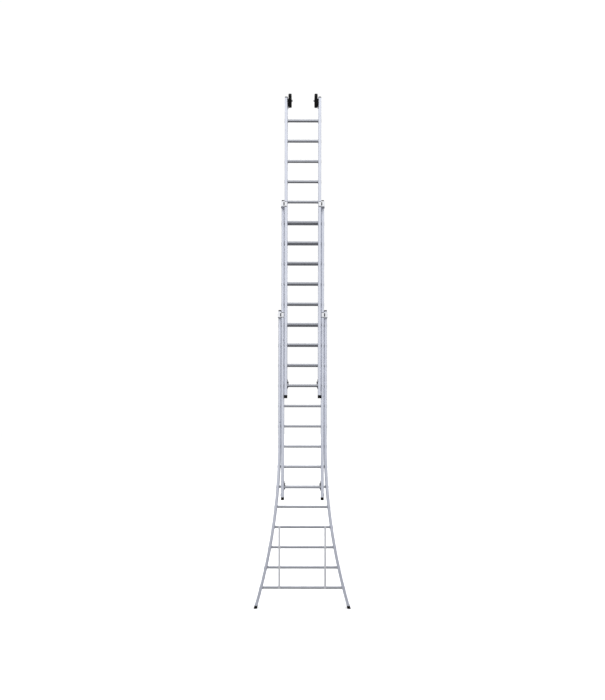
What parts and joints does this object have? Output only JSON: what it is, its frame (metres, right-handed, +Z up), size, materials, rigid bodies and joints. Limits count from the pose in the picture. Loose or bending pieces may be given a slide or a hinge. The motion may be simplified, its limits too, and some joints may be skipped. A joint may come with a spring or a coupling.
{
  "type": "extension ladder",
  "caption": "Push-up extension ladder in nesting sections, with a flared foot, rung hooks, guide brackets and wall wheels at the top.",
  "frame": {"origin": "on the floor, at the centre of the bounding box's bottom", "axes": "+Z up along the stiles; +X to the right across the rungs; the climber's side, where the upper section stands proud, faces -Y"},
  "size_m": [1.1994, 0.196, 6.3225],
  "materials": {
    "stile_aluminium": "satin extruded aluminium with fine lengthwise lines",
    "rung_aluminium": "satin extruded aluminium",
    "bright_aluminium": "bright mill-finish aluminium",
    "zinc_plated_steel": "satin zinc plating",
    "plated_hook_steel": "dull plated steel",
    "black_plastic": "fine-grained matt",
    "black_nylon": "smooth matt",
    "natural_nylon": "smooth, undyed",
    "grey_cap_plastic": "matt",
    "foot_rubber": "matt rubber",
    "tyre_rubber": "matt rubber"
  },
  "bodies": {
    "lower_section": {"left_lower_stile": "stile_aluminium", "right_lower_stile": "stile_aluminium", "lower_rung_01": "rung_aluminium", "lower_rung_02": "rung_aluminium", "lower_rung_03": "rung_aluminium", "lower_rung_04": "rung_aluminium", "lower_rung_05": "rung_aluminium", "lower_rung_06": "rung_aluminium", "lower_rung_07": "rung_aluminium", "lower_rung_08": "rung_aluminium", "lower_straight_rungs": "rung_aluminium", "left_lower_foot": "foot_rubber", "right_lower_foot": "foot_rubber", "lower_stile_caps": "grey_cap_plastic", "left_glide_rail": "bright_aluminium", "right_glide_rail": "bright_aluminium", "glide_rail_rivets": "zinc_plated_steel", "left_lower_guide_bracket": "bright_aluminium", "right_lower_guide_bracket": "bright_aluminium", "lower_guide_liners": "black_nylon", "lower_guide_bolts": "zinc_plated_steel", "lower_stile_plug": "black_plastic"},
    "middle_section": {"left_middle_stile": "stile_aluminium", "right_middle_stile": "stile_aluminium", "middle_rungs": "rung_aluminium", "middle_feet": "foot_rubber", "middle_stile_caps": "grey_cap_plastic", "left_middle_guide_bracket": "bright_aluminium", "right_middle_guide_bracket": "bright_aluminium", "middle_guide_liners": "black_nylon", "middle_guide_bolts": "zinc_plated_steel", "left_middle_hook_plate": "plated_hook_steel", "right_middle_hook_plate": "plated_hook_steel", "middle_hook_rivets": "zinc_plated_steel", "middle_hook_pins": "zinc_plated_steel", "middle_guide_lugs": "natural_nylon", "middle_stile_plug": "black_plastic"},
    "upper_section": {"left_upper_stile": "stile_aluminium", "right_upper_stile": "stile_aluminium", "upper_rungs": "rung_aluminium", "upper_feet": "foot_rubber", "upper_stile_caps": "grey_cap_plastic", "left_upper_hook_plate": "plated_hook_steel", "right_upper_hook_plate": "plated_hook_steel", "upper_hook_rivets": "zinc_plated_steel", "upper_hook_pins": "zinc_plated_steel", "upper_guide_lugs": "natural_nylon", "left_wheel_bracket": "black_plastic", "right_wheel_bracket": "black_plastic", "wheel_bracket_bolts": "zinc_plated_steel", "wheel_axles": "zinc_plated_steel", "wheel_axle_nuts": "zinc_plated_steel"},
    "left_middle_hook_body": {"left_middle_hook": "black_plastic"},
    "left_upper_hook_body": {"left_upper_hook": "black_plastic"},
    "left_wheel": {"left_wheel_tyre": "tyre_rubber", "left_wheel_hub": "black_plastic"},
    "right_middle_hook_body": {"right_middle_hook": "black_plastic"},
    "right_upper_hook_body": {"right_upper_hook": "black_plastic"},
    "right_wheel": {"right_wheel_tyre": "tyre_rubber", "right_wheel_hub": "black_plastic"}
  },
  "joints": [
    {"name": "middle_slide", "type": "slide", "parent": "lower_section", "child": "middle_section", "axis": [0, 0, 1], "range_m": [-1.25, 1.25]},
    {"name": "upper_slide", "type": "slide", "parent": "middle_section", "child": "upper_section", "axis": [0, 0, 1], "range_m": [-1.25, 1.25]},
    {"name": "left_middle_hook_pivot", "type": "hinge", "parent": "middle_section", "child": "left_middle_hook_body", "pos_m": [-0.219, 0.03245, 1.54], "axis": [1, 0, 0], "range_deg": [0, 120]},
    {"name": "right_middle_hook_pivot", "type": "hinge", "parent": "middle_section", "child": "right_middle_hook_body", "pos_m": [0.219, 0.03245, 1.54], "axis": [1, 0, 0], "range_deg": [0, 120]},
    {"name": "left_upper_hook_pivot", "type": "hinge", "parent": "upper_section", "child": "left_upper_hook_body", "pos_m": [-0.18, -0.01355, 2.79], "axis": [1, 0, 0], "range_deg": [0, 120]},
    {"name": "right_upper_hook_pivot", "type": "hinge", "parent": "upper_section", "child": "right_upper_hook_body", "pos_m": [0.18, -0.01355, 2.79], "axis": [1, 0, 0], "range_deg": [0, 120]},
    {"name": "left_wheel_spin", "type": "hinge", "parent": "upper_section", "child": "left_wheel", "pos_m": [-0.159, -0.02555, 6.25], "axis": [1, 0, 0], "continuous": true},
    {"name": "right_wheel_spin", "type": "hinge", "parent": "upper_section", "child": "right_wheel", "pos_m": [0.159, -0.02555, 6.25], "axis": [1, 0, 0], "continuous": true}
  ]
}
